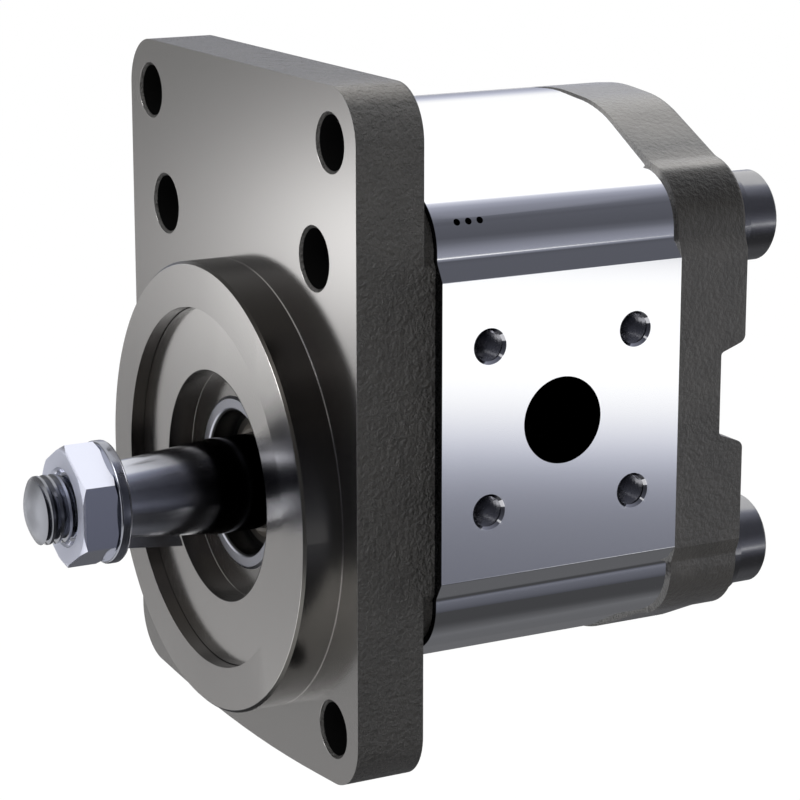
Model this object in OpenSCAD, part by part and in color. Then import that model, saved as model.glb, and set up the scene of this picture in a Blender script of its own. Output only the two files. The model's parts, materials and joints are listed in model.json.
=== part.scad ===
// External gear pump with a four-bolt rectangular flange and a 1:5 taper shaft.
// The drive shaft runs along Y and points to -Y. The origin is on its axis, in the
// plane of the flange's mounting face. The driven gear is above it, towards +Z.
// Millimetres throughout.

/* [Mounting flange] */
// Width of the flange plate
flange_w = 90; // [88:0.5:96]
// Height of the plate's top edge above the shaft axis
flange_top = 74.8; // [72:0.2:80]
// Depth of the plate's bottom corners below the shaft axis
flange_bottom = 43.4; // [42:0.2:50]
// How far the bottom edge bulges below its corners
flange_sag = 1.8; // [0.5:0.1:4]
// Corner radius of the plate
flange_corner_r = 9; // [4:0.5:12]
// Thickness of the plate
flange_t = 12.4; // [11:0.1:16]
// Thickness of the raised pad that the body seats on
pad_t = 2.1; // [1:0.1:4]
// How far the pad stays inside the body's outline
pad_inset = 1.1; // [0.5:0.1:2]
// Spacing of the mounting holes across the flange
mount_dx = 72; // [68:0.5:74]
// Spacing of the mounting holes up the flange
mount_dz = 100; // [96:0.5:102]
// Height of the mounting pattern's centre above the shaft axis
mount_mid_z = 15.5; // [14:0.1:17]
// Diameter of the mounting holes
mount_hole_d = 9; // [8:0.1:10.5]
// Chamfer at the mouth of the holes
hole_chamfer = 0.6; // [0.2:0.1:1]

/* [Spigot] */
// Diameter of the locating spigot
spigot_d = 80; // [78:0.5:84]
// Height of the spigot in front of the mounting face
spigot_h = 7.2; // [6:0.1:9]
// Chamfer on the spigot's front edge
spigot_chamfer = 0.5; // [0.2:0.1:1]
// Diameter of the shallow recess in the spigot's face
face_recess_d = 64; // [56:0.5:68]
// Depth of the shallow recess
face_recess_depth = 2.6; // [1.5:0.1:3.5]
// Diameter of the inner recess round the shaft seal
seal_recess_d = 41; // [36:0.5:46]

/* [Drive shaft] */
// Diameter of the shaft and of all four journals
shaft_d = 17; // [16:0.1:18]
// Distance from the mounting face to the taper's large end
taper_from = 5; // [4:0.1:7]
// Length of the taper
taper_len = 20; // [18:0.1:22]
// Length over which the taper's diameter grows by 1
taper_ratio = 5; // [5:1:8]
// Nominal diameter of the shaft's thread
thread_d = 12; // [10:0.1:12.4]
// Distance from the mounting face to the shaft's tip
shaft_reach = 40; // [38:0.5:46]
// Radius of the round on the shaft's tip
tip_round = 2; // [0.5:0.1:2.5]
// Thickness of the lock washer under the nut
lock_washer_t = 2.1; // [1.5:0.1:3]
// Outer diameter of the lock washer
lock_washer_d = 21.5; // [18:0.1:23]
// Width of the nut across its flats
nut_af = 19; // [18:0.5:21]
// Height of the nut
nut_h = 6.5; // [5:0.1:8]
// How far inside the nominal radius the thread is drawn where it runs in the nut
thread_sink = 0.5; // [0.3:0.05:0.7]
// Play between the thread and the nut
nut_play = 0.05; // [0.02:0.01:0.1]
// Width of the half-moon key
key_w = 3; // [2.5:0.1:4]
// Diameter of the disc that the key is cut from
key_d = 13; // [11:0.1:14]
// Height of the key
key_h = 5; // [4:0.1:5.5]
// Height of the key above the taper's surface
key_proud = 1.8; // [1.2:0.1:2.2]

/* [Gears] */
// Distance between the two gear axes
gear_distance = 35; // [34:0.1:36]
// Number of teeth on each gear
teeth = 10; // [10:1:11]
// Width of the gears
gear_w = 16; // [12:0.5:18]
// Pressure angle of the teeth
pressure_angle = 28; // [27:0.5:29]
// Addendum as a part of the module
addendum = 0.9; // [0.8:0.01:0.95]
// Dedendum as a part of the module
dedendum = 1.15; // [1.1:0.01:1.2]
// Play between the flanks of the meshing teeth
backlash = 0.2; // [0.1:0.01:0.4]
// Play between the tooth tips and the bore of the body
tip_play = 0.08; // [0.03:0.01:0.2]
// Play between the gears' faces and the bearing blocks
face_play = 0.05; // [0.02:0.01:0.1]

/* [Body] */
// Length of the body along the shaft
body_len = 46.4; // [44:0.2:60]
// Half width of the body over its two port faces
port_half_w = 47.3; // [46.5:0.1:50]
// Height of each port face
port_face_h = 51.2; // [48:0.2:54]
// Half width of the body over its rounded shoulders
ear_half_w = 45.5; // [45:0.1:46.5]
// Radius of the four rounded shoulders
ear_r = 9.9; // [6:0.1:10]
// How far the shoulders' outer corners stand past half the body bolts' spacing
ear_rise = 7.5; // [6:0.1:9]
// Height of the crown above the middle of the body
crown_z = 49.4; // [48:0.1:52]
// Sideways place of the crown's highest line
crown_x = 6; // [-6:0.5:6]
// Diameter of the three blind pits in the upper shoulder
pit_d = 1.2; // [0.6:0.1:1.8]
// Spacing of the three pits
pit_pitch = 2.15; // [2:0.05:4]

/* [Ports] */
// Diameter of the pressure port
pressure_port_d = 15; // [14.5:0.1:16]
// Diameter of the suction port
suction_port_d = 20; // [16:0.5:22]
// Depth of both ports' mouths
port_mouth = 16; // [8:0.5:18]
// Diameter of the passages from the mouths to the gears
passage_d = 14; // [9:0.2:14.4]
// Bolt circle of each port's four threaded holes
port_pcd = 40; // [38:0.5:42]
// Nominal diameter of the port threads
port_thread_d = 6; // [5:0.5:8]
// Depth of the port threads
port_thread_depth = 13; // [8:0.5:14]

/* [Rear cover] */
// Thickness of the rear cover
cover_t = 13.6; // [12:0.1:20]
// How far the cover's shoulders stand out past the body
cover_lip = 0.8; // [0.2:0.1:1.5]
// Depth of the channel in each side of the cover
channel_depth = 4.9; // [3:0.1:7]
// Height of the channel at its floor
channel_h = 14.6; // [10:0.1:18]
// Slope of the channel's walls, as rise for the whole depth
channel_flare = 1.8; // [0.5:0.1:3]
// Radius where the channel's walls meet the rear face
channel_mouth_r = 1.6; // [0.5:0.1:2]
// Radius along the channel's floor
channel_floor_r = 0.8; // [0.3:0.1:1.2]
// Height of the channel's middle above the shaft axis
channel_mid_z = 18.2; // [16:0.1:20]
// How far the channel runs in from each side
channel_len = 21; // [10:0.5:26]
// Diameter of the raised seats under the bolts
boss_d = 19.4; // [18:0.1:21]
// Height of the raised seats
boss_h = 4.2; // [1:0.1:6]

/* [Body bolts] */
// Spacing of the body bolts, across and up
bolt_pitch = 60; // [60:0.1:61]
// Nominal diameter of the body bolts
bolt_d = 10; // [9:0.1:10.5]
// Diameter of the bolt heads
head_d = 16.1; // [14:0.1:18]
// Height of the bolt heads
head_h = 6.5; // [5:0.1:10]
// Width of the socket in the bolt heads, across its flats
socket_af = 7; // [5:0.5:9]
// Depth of the socket
socket_depth = 3.6; // [2:0.1:4]
// Outer diameter of the bolt washers
bolt_washer_d = 18.1; // [17:0.1:19]
// Thickness of the bolt washers
bolt_washer_t = 2.2; // [1.5:0.1:3]
// Distance from the mounting face to the end of the bolts
bolt_end = 4.4; // [3:0.1:8]
// Diameter of the dowel pins
dowel_d = 6; // [4:0.5:7]
// Length of the dowel pins
dowel_len = 8; // [6:0.5:9]

/* [Bearings and seals] */
// Wall of the plain bearing bushes
bush_wall = 1.5; // [1:0.1:2]
// Radial running play of the shafts in their bushes
journal_play = 0.03; // [0.02:0.005:0.08]
// Play of fixed pieces in their seats
seat_play = 0.03; // [0.01:0.01:0.06]
// Outer diameter of the shaft seal
seal_d = 31; // [29:0.5:34]
// Width of the shaft seal
seal_w = 7; // [6:0.1:8]
// How far the shaft seal stands out of its seat
seal_proud = 0.3; // [0:0.1:0.6]
// Chamfer on the front edges of the shaft seal's case
seal_chamfer = 0.5; // [0.3:0.1:0.8]
// Wall of the shaft seal's metal case
seal_case_wall = 2.6; // [1.5:0.1:3]
// Width of the end seals' grooves
axial_groove_w = 4.2; // [3.5:0.1:4.6]
// Depth of the end seals' grooves
axial_groove_depth = 2.4; // [1.5:0.1:3]
// Width of the body seals' grooves
body_groove_w = 2; // [1.5:0.1:2.4]
// Depth of the body seals' grooves
body_groove_depth = 1.6; // [1:0.1:2.5]

/* [Hidden] */
$fn = 96;
eps = 0.01;

// Stations along the shaft, from the mounting face backwards
body_front = flange_t + pad_t;
body_rear = body_front + body_len;
cover_rear = body_rear + cover_t;
boss_rear = cover_rear + boss_h;
washer_rear = boss_rear + bolt_washer_t;
head_rear = washer_rear + head_h;
gear_mid = body_front + body_len / 2;
gear_front = gear_mid - gear_w / 2;
gear_rear = gear_mid + gear_w / 2;

// Stations in front of the mounting face
taper_end = -taper_from - taper_len;
washer_front = taper_end - lock_washer_t;
nut_front = washer_front - nut_h;

// The body's middle and its main pieces
body_mid_z = gear_distance / 2;
mid_z = body_mid_z;
axes_z = [0, gear_distance];
sides = [-1, 1];
port_z = mid_z;
port_step_run = 3;
port_step_top = mid_z + port_face_h / 2;
bolt_x = bolt_pitch / 2;
bolt_zs = [mount_mid_z - bolt_pitch / 2, mount_mid_z + bolt_pitch / 2];
port_bolt_step = port_pcd / sqrt(8);
dowel_x = 36;
dowel_rise = 9.5;

// Gear sizes
module_mm = gear_distance / teeth;
pitch_r = gear_distance / 2;
base_r = pitch_r * cos(pressure_angle);
tip_r = pitch_r + addendum * module_mm;
root_r = pitch_r - dedendum * module_mm;
chamber_r = tip_r + tip_play;
block_r = chamber_r - seat_play;

// Journals and bushes
journal_r = shaft_d / 2;
bush_bore_r = journal_r + journal_play;
bush_r = bush_bore_r + bush_wall;
block_bore_r = bush_r + seat_play;
journal_end_gap = 0.5;

// The shaft's small end
taper_small_r = journal_r - taper_len / (2 * taper_ratio);
engaged_r = thread_d / 2 - thread_sink;

// Shaft seal
seal_front = -seal_proud;
seal_rear = seal_front + seal_w;
seal_pocket_r = seal_d / 2 + seat_play;
seal_case_bore_r = seal_d / 2 - seal_case_wall;
shaft_passage_r = journal_r + 1;

// Polar point, and the involute function in degrees
function polar(r, a) = [r * cos(a), r * sin(a)];
function involute(a) = tan(a) * 180 / PI - a;
function roll_angle(r) = acos(min(1, base_r / r));

// Places of the outline's corners beside the shoulders and the crown
ear_z = bolt_x + ear_rise;
blend_in = 8.7;
blend_rise = 2.2;
right_run = 14.1;
right_fall = 1.25;
left_run = 8;
left_fall = 0.7;
far_left_x = 25.8;
far_left_fall = 4.4;

// Corner list of the body's outline, each corner as [x, z, radius], for the side s.
// grow moves the shoulders and the crown out, and leaves the port faces.
function shoulder(s, grow) = [
    [s * port_half_w, port_face_h / 2 + grow / 3, 0.3],
    [s * (ear_half_w + grow), port_face_h / 2 + port_step_run, 1.5],
    [s * (ear_half_w + grow), ear_z + grow, ear_r + grow],
    [s * (ear_half_w - blend_in), ear_z + blend_rise + grow, 4]];
function crown(grow) = [
    [crown_x + right_run, crown_z - right_fall + grow / 2, 27],
    [crown_x, crown_z + grow / 3, 40],
    [crown_x - left_run, crown_z - left_fall, 40],
    [-far_left_x, crown_z - far_left_fall, 27]];
function flipped(list) = [for (i = [len(list) - 1 : -1 : 0]) list[i]];
function upper_outline(grow) = concat(shoulder(1, grow), crown(grow),
    flipped(shoulder(-1, grow)));
function below(list) = [for (c = flipped(list)) [c[0], -c[1], c[2]]];
function outline(grow) = concat(upper_outline(grow), below(upper_outline(grow)));

// Corner list to an outline with true round corners. Each corner is first cut along
// the chord between its tangent points, and the round then fills or hollows the cut.
// Rounds are drawn over size by round_over, so that they cross the straight edges.
round_over = 0.005;
round_apex = 5;
function unit(v) = v / norm(v);
function turn(a, b) = a[0] * b[1] - a[1] * b[0];
function pt(c) = [c[0], c[1]];
function before(list, i) = pt(list[(i + len(list) - 1) % len(list)]);
function after(list, i) = pt(list[(i + 1) % len(list)]);
function half_turn(list, i) =
    let (u = unit(pt(list[i]) - before(list, i)), v = unit(after(list, i) - pt(list[i])))
    acos(max(-1, min(1, u * v))) / 2;
function chord(list, i, extra = 0) =
    let (p = pt(list[i]), t = list[i][2] * tan(half_turn(list, i)) + extra)
    [p + t * unit(before(list, i) - p), p + t * unit(after(list, i) - p)];
function middle(pair) = (pair[0] + pair[1]) / 2;
function centre(list, i) =
    let (p = pt(list[i]), m = middle(chord(list, i)))
    p + unit(m - p) * list[i][2] / cos(half_turn(list, i));
function convex(list, i) =
    turn(pt(list[i]) - before(list, i), after(list, i) - pt(list[i])) > 0;

module corner_round(list, i) {
    r = list[i][2] + round_over;
    ends = chord(list, i, 2 * sqrt(2 * r * round_over));
    m = middle(chord(list, i));
    inward = centre(list, i) - m;
    apex = m + unit(inward) * min(norm(inward), round_apex);
    intersection() {
        translate(centre(list, i)) circle(r = r);
        polygon([apex, 2 * ends[0] - apex, apex + 4 * (m - apex), 2 * ends[1] - apex]);
    }
}

module rounded(list) {
    difference() {
        union() {
            polygon([for (i = [0 : len(list) - 1]) each chord(list, i)]);
            for (i = [0 : len(list) - 1]) if (convex(list, i)) corner_round(list, i);
        }
        for (i = [0 : len(list) - 1]) if (!convex(list, i)) corner_round(list, i);
    }
}

// Shapes drawn in the X-Z plane and run along Y from a to b
module along_y(a, b) {
    translate([0, b, 0]) rotate([90, 0, 0]) linear_extrude(b - a) children();
}
module rod_y(d, a, b, x = 0, z = 0) {
    translate([x, b, z]) rotate([90, 0, 0]) cylinder(d = d, h = b - a);
}
module cone_y(d_a, d_b, a, b, x = 0, z = 0) {
    translate([x, b, z]) rotate([90, 0, 0]) cylinder(d1 = d_b, d2 = d_a, h = b - a);
}
module rod_x(d, a, b, y, z) {
    translate([a, y, z]) rotate([0, 90, 0]) cylinder(d = d, h = b - a);
}
module cone_x(d_a, d_b, a, b, y, z) {
    translate([a, y, z]) rotate([0, 90, 0]) cylinder(d1 = d_a, d2 = d_b, h = b - a);
}
// Revolves an outline of [distance from the axis, station along +Y]
module turned(z = 0) {
    translate([0, 0, z]) rotate([-90, 0, 0]) rotate_extrude() children();
}

module at_bolts() {
    for (s = sides) for (z = bolt_zs) translate([s * bolt_x, 0, z]) children();
}
module figure_eight(r) {
    for (z = axes_z) translate([0, z]) circle(r = r);
}

// Mounting flange, spigot and the pad that carries the body, one casting
module flange_plate() {
    corners = [
        [flange_w / 2, flange_top, flange_corner_r],
        [-flange_w / 2, flange_top, flange_corner_r],
        [-flange_w / 2, -flange_bottom, flange_corner_r],
        [0, -flange_bottom - 2 * flange_sag, 4 * flange_w],
        [flange_w / 2, -flange_bottom, flange_corner_r]];
    rounded(corners);
}

module front_cover() {
    color("dimgray") difference() {
        union() {
            along_y(0, flange_t) flange_plate();
            along_y(flange_t - eps, body_front) intersection() {
                translate([0, mid_z]) rounded(outline(-pad_inset));
                translate([-flange_w / 2, -flange_w]) square([flange_w, 3 * flange_w]);
            }
            turned() polygon([
                [0, eps], [0, -spigot_h],
                [spigot_d / 2 - spigot_chamfer, -spigot_h],
                [spigot_d / 2, -spigot_h + spigot_chamfer],
                [spigot_d / 2, eps]]);
        }
        rod_y(face_recess_d, -spigot_h - 1, -spigot_h + face_recess_depth);
        rod_y(seal_recess_d, -spigot_h - 1, 0);
        rod_y(2 * seal_pocket_r, -1, seal_rear);
        rod_y(2 * shaft_passage_r, 0, body_front + 1);
        for (s = sides) for (t = sides)
            translate([s * mount_dx / 2, 0, mount_mid_z + t * mount_dz / 2]) {
                rod_y(mount_hole_d, -1, body_front + 1);
                cone_y(mount_hole_d + 2 * hole_chamfer + 2, mount_hole_d, -1, hole_chamfer);
            }
        at_bolts() rod_y(bolt_d, bolt_end - 1, body_front + 1);
        for (s = sides) translate([s * bolt_x, 0, bolt_zs[1]]) {
            rod_y(bolt_d, -1, body_front + 1);
            cone_y(bolt_d + 2 * hole_chamfer + 2, bolt_d, -1, hole_chamfer);
        }
        dowel_holes(body_front - dowel_len / 2, body_front + 1);
    }
}

module dowel_holes(a, b, play = seat_play) {
    for (s = sides)
        rod_y(dowel_d + 2 * play, a, b, s * dowel_x, mid_z - s * dowel_rise);
}

// Extruded body with the figure-eight bore and a port in each side
module port_threads(s) {
    for (i = sides) for (j = sides) {
        y = gear_mid + i * port_bolt_step;
        z = port_z + j * port_bolt_step;
        mirror([s < 0 ? 1 : 0, 0, 0]) {
            rod_x(port_thread_d, port_half_w - port_thread_depth, port_half_w + 1, y, z);
            cone_x(port_thread_d, port_thread_d + 2, port_half_w - 0.4,
                port_half_w + 0.6, y, z);
        }
    }
}

module pump_body() {
    color("silver") difference() {
        along_y(body_front, body_rear) difference() {
            translate([0, mid_z]) rounded(outline(0));
            figure_eight(chamber_r);
            for (s = sides) for (z = bolt_zs) translate([s * bolt_x, z])
                circle(r = bolt_hole_r);
        }
        rod_x(passage_d, -port_half_w + 1, port_half_w - 1, gear_mid, port_z);
        rod_x(pressure_port_d, port_half_w - port_mouth, port_half_w + 1, gear_mid, port_z);
        rod_x(suction_port_d, -port_half_w - 1, -port_half_w + port_mouth, gear_mid, port_z);
        for (s = sides) port_threads(s);
        body_seal_groove(body_front - 1, body_front + body_groove_depth);
        body_seal_groove(body_rear - body_groove_depth, body_rear + 1);
        dowel_holes(body_front - 1, body_front + dowel_len / 2);
        dowel_holes(body_rear - dowel_len / 2, body_rear + 1);
        for (i = [0 : 2]) shoulder_pit(body_front + 4.4 + i * pit_pitch);
    }
}

module shoulder_pit(y) {
    pit_angle = 30;
    pit_rise = 2.2;
    corner = [ear_half_w - ear_r, mid_z + ear_z - ear_r + pit_rise];
    translate([corner[0], y, corner[1]]) rotate([0, 90 - pit_angle, 0])
        translate([0, 0, ear_r - 1]) cylinder(d = pit_d, h = 2, $fn = 24);
}

module body_seal_ring(inner, outer) {
    difference() {
        figure_eight(outer);
        figure_eight(inner);
    }
}
// The body seal runs midway between the gears' bore and the bolt holes
bolt_hole_r = bolt_d / 2 + 0.3;
bolt_reach = norm([bolt_x, min(abs(bolt_zs[0]), abs(bolt_zs[1] - gear_distance))]);
body_groove_r = (chamber_r + bolt_reach - bolt_hole_r - body_groove_w) / 2;
module body_seal_groove(a, b) {
    along_y(a, b) body_seal_ring(body_groove_r, body_groove_r + body_groove_w);
}

// The channel's section, with its floor at -channel_depth and its mouth at the
// rear face, where the walls turn out over a round
module channel_shape() {
    floor_half = channel_h / 2;
    mouth_half = floor_half + channel_flare;
    clear_half = mouth_half + 2 * channel_mouth_r;
    rounded([
        [-floor_half, -channel_depth, channel_floor_r],
        [floor_half, -channel_depth, channel_floor_r],
        [mouth_half, eps, channel_mouth_r],
        [clear_half, eps, 0.2],
        [clear_half, 1, 0.2],
        [-clear_half, 1, 0.2],
        [-clear_half, eps, 0.2],
        [-mouth_half, eps, channel_mouth_r]]);
}

// Cast rear cover with bolt seats and a channel in each side
module rear_cover() {
    color("dimgray") difference() {
        union() {
            along_y(body_rear, cover_rear) translate([0, mid_z]) rounded(outline(cover_lip));
            at_bolts() rod_y(boss_d, cover_rear - 1, boss_rear);
        }
        for (s = sides) mirror([s < 0 ? 1 : 0, 0, 0])
            translate([port_half_w - channel_len, cover_rear, channel_mid_z])
                rotate([0, 90, 0]) linear_extrude(channel_len + 1) channel_shape();
        at_bolts() rod_y(2 * bolt_hole_r, body_rear - 1, boss_rear + 1);
        dowel_holes(body_rear - 1, body_rear + dowel_len / 2);
    }
}

// Gear with involute flanks, and true arcs at the tips and roots
function flank(r, s) =
    let (half = 90 / teeth - backlash / (4 * pitch_r) * 180 / PI + involute(pressure_angle))
    polar(r, s * (half - involute(roll_angle(r))));
module gear_outline(first_tooth) {
    steps = 7;
    top = tip_r + 0.05;
    circle(r = root_r);
    intersection() {
        circle(r = tip_r);
        for (i = [0 : teeth - 1]) rotate(first_tooth + i * 360 / teeth) polygon(concat(
            [polar(root_r - 1, -90 / teeth)],
            [for (k = [0 : steps]) flank(base_r + (top - base_r) * k / steps, -1)],
            [for (k = [steps : -1 : 0]) flank(base_r + (top - base_r) * k / steps, 1)],
            [polar(root_r - 1, 90 / teeth)]));
    }
}
module gear(z, first_tooth) {
    along_y(gear_front, gear_rear) translate([0, z]) gear_outline(first_tooth);
}

// Drive gear and shaft, one forging: journals, taper with its keyway, thread
module drive_gear_shaft() {
    color("lightsteelblue") difference() {
        union() {
            gear(0, 90);
            turned() polygon([
                [0, body_rear - journal_end_gap],
                [journal_r - 0.5, body_rear - journal_end_gap],
                [journal_r, body_rear - journal_end_gap - 0.5],
                [journal_r, -taper_from],
                [taper_small_r, taper_end],
                [engaged_r, taper_end],
                [engaged_r, nut_front - nut_play],
                [thread_d / 2, nut_front - 4 * nut_play],
                [thread_d / 2, -shaft_reach + tip_round],
                [0, -shaft_reach + tip_round]]);
            shaft_tip();
        }
        key_slot(seat_play);
    }
}

// The end of the thread: a flat with a large round
module shaft_tip() {
    flat_r = thread_d / 2 - tip_round;
    turned() difference() {
        union() {
            translate([flat_r, tip_round - shaft_reach]) circle(r = tip_round);
            translate([0, -shaft_reach]) square([flat_r, tip_round]);
        }
        translate([0, tip_round - shaft_reach]) square([thread_d, 2 * tip_round]);
    }
}

// The key lies parallel to the taper's surface, on the underside at rest
key_angle = atan(1 / (2 * taper_ratio));
key_back = 6.8;
key_centre_y = taper_end + key_back;
key_surface_r = journal_r - (-taper_from - key_centre_y) / (2 * taper_ratio);
key_flat_r = key_surface_r + key_proud;
module key_frame() {
    translate([0, key_centre_y, -key_flat_r]) rotate([-key_angle, 0, 0]) children();
}
module key_disc(play) {
    key_sink = key_h - key_d / 2;
    translate([-key_w / 2 - play, 0, key_sink]) rotate([0, 90, 0])
        cylinder(d = key_d + 2 * play, h = key_w + 2 * play);
}
module key_slot(play) {
    key_frame() intersection() {
        key_disc(play);
        translate([-key_d, -key_d, 0]) cube([2 * key_d, 2 * key_d, key_d]);
    }
}
module shaft_key() {
    color("gray") key_frame() intersection() {
        key_disc(0);
        translate([-key_d, -key_d, 0]) cube([2 * key_d, 2 * key_d, key_d]);
    }
}

module driven_gear_shaft() {
    color("lightsteelblue") {
        gear(gear_distance, 90 + 180 / teeth);
        rod_y(shaft_d, body_front + journal_end_gap, body_rear - journal_end_gap,
            0, gear_distance);
    }
}

// Split lock washer and thin nut on the shaft's thread
module lock_washer() {
    slit = 1.2;
    color("silver") difference() {
        rod_y(lock_washer_d, washer_front, taper_end);
        rod_y(thread_d + 0.4, washer_front - 1, taper_end + 1);
        rotate([0, 20, 0]) translate([-lock_washer_d, washer_front - 1, -slit / 2])
            cube([lock_washer_d, lock_washer_t + 2, slit]);
    }
}
module shaft_nut() {
    corner_d = nut_af / cos(30);
    cut = 1.1;
    color("silver") difference() {
        intersection() {
            translate([0, washer_front, 0]) rotate([90, 30, 0])
                cylinder(d = corner_d, h = nut_h, $fn = 6);
            turned() polygon([
                [0, washer_front], [corner_d / 2 - cut, washer_front],
                [corner_d / 2 + 0.2, washer_front - cut * 0.7],
                [corner_d / 2 + 0.2, nut_front + cut * 0.7],
                [corner_d / 2 - cut, nut_front], [0, nut_front]]);
        }
        rod_y(2 * (engaged_r + nut_play), nut_front - 1, washer_front + 1);
        cone_y(thread_d + 2, thread_d, nut_front - eps, nut_front + 1);
    }
}

// Bearing blocks: one figure-eight block on each side of the gears
module bearing_block(cover_y, gear_y) {
    a = min(cover_y, gear_y);
    b = max(cover_y, gear_y);
    pocket_x = 7;
    pocket = [6, 2.4, 7];
    inward = sign(gear_y - cover_y);
    difference() {
        along_y(a, b) difference() {
            figure_eight(block_r);
            figure_eight(block_bore_r);
        }
        axial_groove(cover_y - inward, cover_y + inward * axial_groove_depth);
        for (s = sides) translate([s * pocket_x, gear_y, mid_z])
            cube(pocket, center = true);
    }
}
module axial_ring(inner, outer, opening) {
    difference() {
        figure_eight(outer);
        figure_eight(inner);
        translate([-block_r - 1, -block_r]) square([opening, gear_distance + 2 * block_r]);
    }
}
axial_groove_r = gear_distance / 2 + 0.6;
axial_land = 5;
axial_opening = block_r - axial_land;
module axial_groove(a, b) {
    along_y(min(a, b), max(a, b))
        axial_ring(axial_groove_r - axial_groove_w, axial_groove_r, axial_opening);
}
module axial_seal(a, b) {
    along_y(a, b) axial_ring(axial_groove_r - axial_groove_w / 2,
        axial_groove_r - seat_play, axial_opening + seat_play);
}
module backup_strips(a, b) {
    along_y(a, b) axial_ring(axial_groove_r - axial_groove_w + seat_play,
        axial_groove_r - axial_groove_w / 2 - seat_play, axial_opening + seat_play);
}
module front_bearing_block() {
    color("gainsboro") bearing_block(body_front + seat_play, gear_front - face_play);
}
module rear_bearing_block() {
    color("gainsboro") bearing_block(body_rear - seat_play, gear_rear + face_play);
}
front_seal_span = [body_front, body_front + axial_groove_depth];
rear_seal_span = [body_rear - axial_groove_depth, body_rear];
module front_axial_seal() {
    color("black") axial_seal(front_seal_span[0], front_seal_span[1]);
}
module rear_axial_seal() {
    color("black") axial_seal(rear_seal_span[0], rear_seal_span[1]);
}
module front_backup_strips() {
    color("ivory") backup_strips(front_seal_span[0], front_seal_span[1]);
}
module rear_backup_strips() {
    color("ivory") backup_strips(rear_seal_span[0], rear_seal_span[1]);
}

module bush(a, b, z) {
    color("darkgoldenrod") along_y(a, b) translate([0, z]) difference() {
        circle(r = bush_r);
        circle(r = bush_bore_r);
    }
}
module front_bush(z) {
    bush(body_front + seat_play, gear_front - 2 * face_play, z);
}
module rear_bush(z) {
    bush(gear_rear + 2 * face_play, body_rear - seat_play, z);
}
module drive_front_bush() { front_bush(0); }
module drive_rear_bush() { rear_bush(0); }
module driven_front_bush() { front_bush(gear_distance); }
module driven_rear_bush() { rear_bush(gear_distance); }

module body_seal(a, b) {
    color("black") along_y(a, b) body_seal_ring(body_groove_r + seat_play,
        body_groove_r + body_groove_w - seat_play);
}
module front_body_seal() { body_seal(body_front, body_front + body_groove_depth); }
module rear_body_seal() { body_seal(body_rear - body_groove_depth, body_rear); }

// Shaft seal: pressed metal case, rubber lip and the spring round the lip
web_depth = 4.6;
web_y = seal_front + web_depth;
web_t = 1;
lip_r = journal_r + journal_play;
web_bore_r = journal_r + 2;
module shaft_seal_case() {
    color("silver") turned() polygon([
        [seal_d / 2, seal_front + seal_chamfer],
        [seal_d / 2, seal_rear],
        [seal_case_bore_r, seal_rear],
        [seal_case_bore_r, web_y + web_t],
        [web_bore_r, web_y + web_t],
        [web_bore_r, web_y],
        [seal_case_bore_r, web_y],
        [seal_case_bore_r, seal_front + seal_chamfer],
        [seal_case_bore_r + seal_chamfer, seal_front],
        [seal_d / 2 - seal_chamfer, seal_front]]);
}
module shaft_seal_lip() {
    color("black") turned() polygon([
        [web_bore_r, web_y],
        [web_bore_r, web_y + web_t],
        [web_bore_r + 1, web_y + web_t],
        [web_bore_r + 0.4, web_y + web_t + 0.6],
        [journal_r + 1, seal_rear - 0.2],
        [lip_r, seal_rear - 0.7],
        [lip_r + 0.3, web_y + web_t],
        [lip_r + 0.1, web_y - 0.9],
        [lip_r + 0.7, web_y - 1]]);
}
module shaft_seal_spring() {
    spring_r = 0.6;
    color("silver") turned() translate([web_bore_r + 1.2, web_y + web_t + 0.7])
        circle(r = spring_r, $fn = 24);
}

// Four screws, their washers and the dowels
module body_bolts() {
    color("darkgray") at_bolts() difference() {
        union() {
            rod_y(bolt_d - 2 * seat_play, bolt_end, washer_rear + 1);
            rod_y(head_d, washer_rear, head_rear - 0.5);
            cone_y(head_d, head_d - 1, head_rear - 0.5, head_rear);
        }
        translate([0, head_rear + eps, 0]) rotate([90, 0, 0])
            cylinder(d = socket_af / cos(30), h = socket_depth, $fn = 6);
    }
}
module bolt_washers() {
    color("silver") at_bolts() difference() {
        rod_y(bolt_washer_d, boss_rear, washer_rear);
        rod_y(bolt_d + 0.4, boss_rear - 1, washer_rear + 1);
    }
}
module dowel_pins() {
    color("gray") {
        dowel_holes(body_front - dowel_len / 2, body_front + dowel_len / 2, 0);
        dowel_holes(body_rear - dowel_len / 2, body_rear + dowel_len / 2, 0);
    }
}

front_cover();
pump_body();
rear_cover();
drive_gear_shaft();
driven_gear_shaft();
shaft_key();
lock_washer();
shaft_nut();
front_bearing_block();
rear_bearing_block();
drive_front_bush();
drive_rear_bush();
driven_front_bush();
driven_rear_bush();
front_axial_seal();
rear_axial_seal();
front_backup_strips();
rear_backup_strips();
front_body_seal();
rear_body_seal();
shaft_seal_case();
shaft_seal_lip();
shaft_seal_spring();
body_bolts();
bolt_washers();
dowel_pins();
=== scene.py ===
import json
import math

import bpy
from mathutils import Matrix, Vector

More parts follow.
